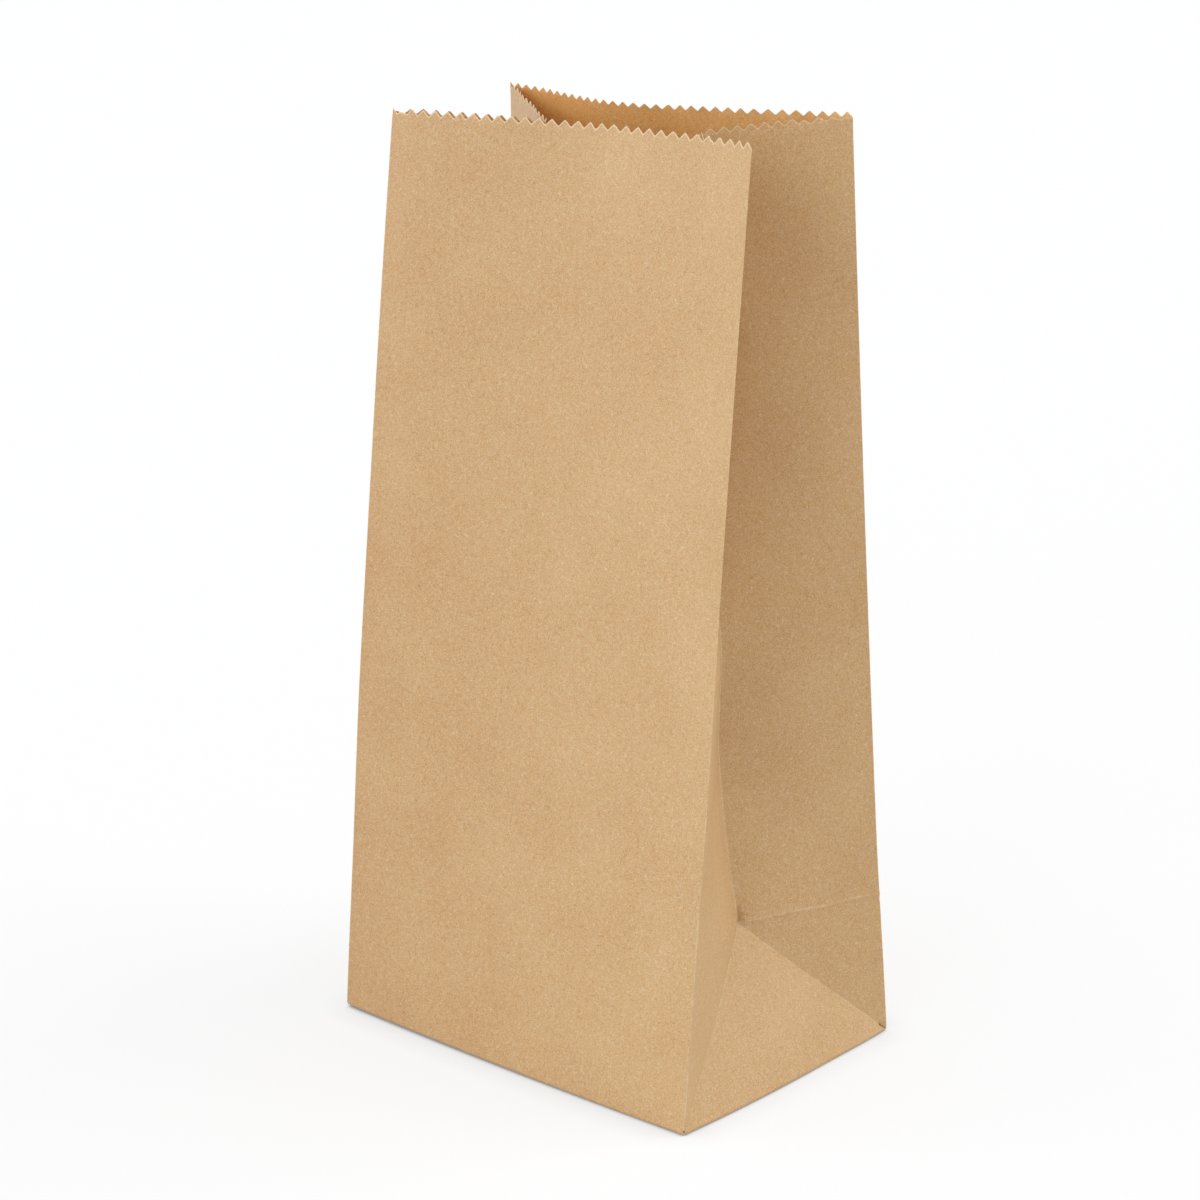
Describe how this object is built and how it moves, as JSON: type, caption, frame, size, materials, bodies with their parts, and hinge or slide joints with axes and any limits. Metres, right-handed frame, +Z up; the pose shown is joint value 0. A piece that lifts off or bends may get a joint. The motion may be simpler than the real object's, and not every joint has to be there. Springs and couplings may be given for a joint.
{
  "type": "paper lunch bag",
  "caption": "Plain brown paper lunch bag standing open: flat folded base, tucked gusset sides and a saw-tooth cut mouth, to hold a packed lunch.",
  "frame": {"origin": "centre of the base, at ground level", "axes": "+Z up from the base to the open mouth; +X along the wide panels; the smooth front panel faces -Y and the rear panel with the fold crease faces +Y"},
  "size_m": [0.1232, 0.082, 0.24],
  "materials": {
    "kraft_paper": "matte"
  },
  "bodies": {
    "root": {"paper_bag": "kraft_paper"}
  },
  "joints": []
}
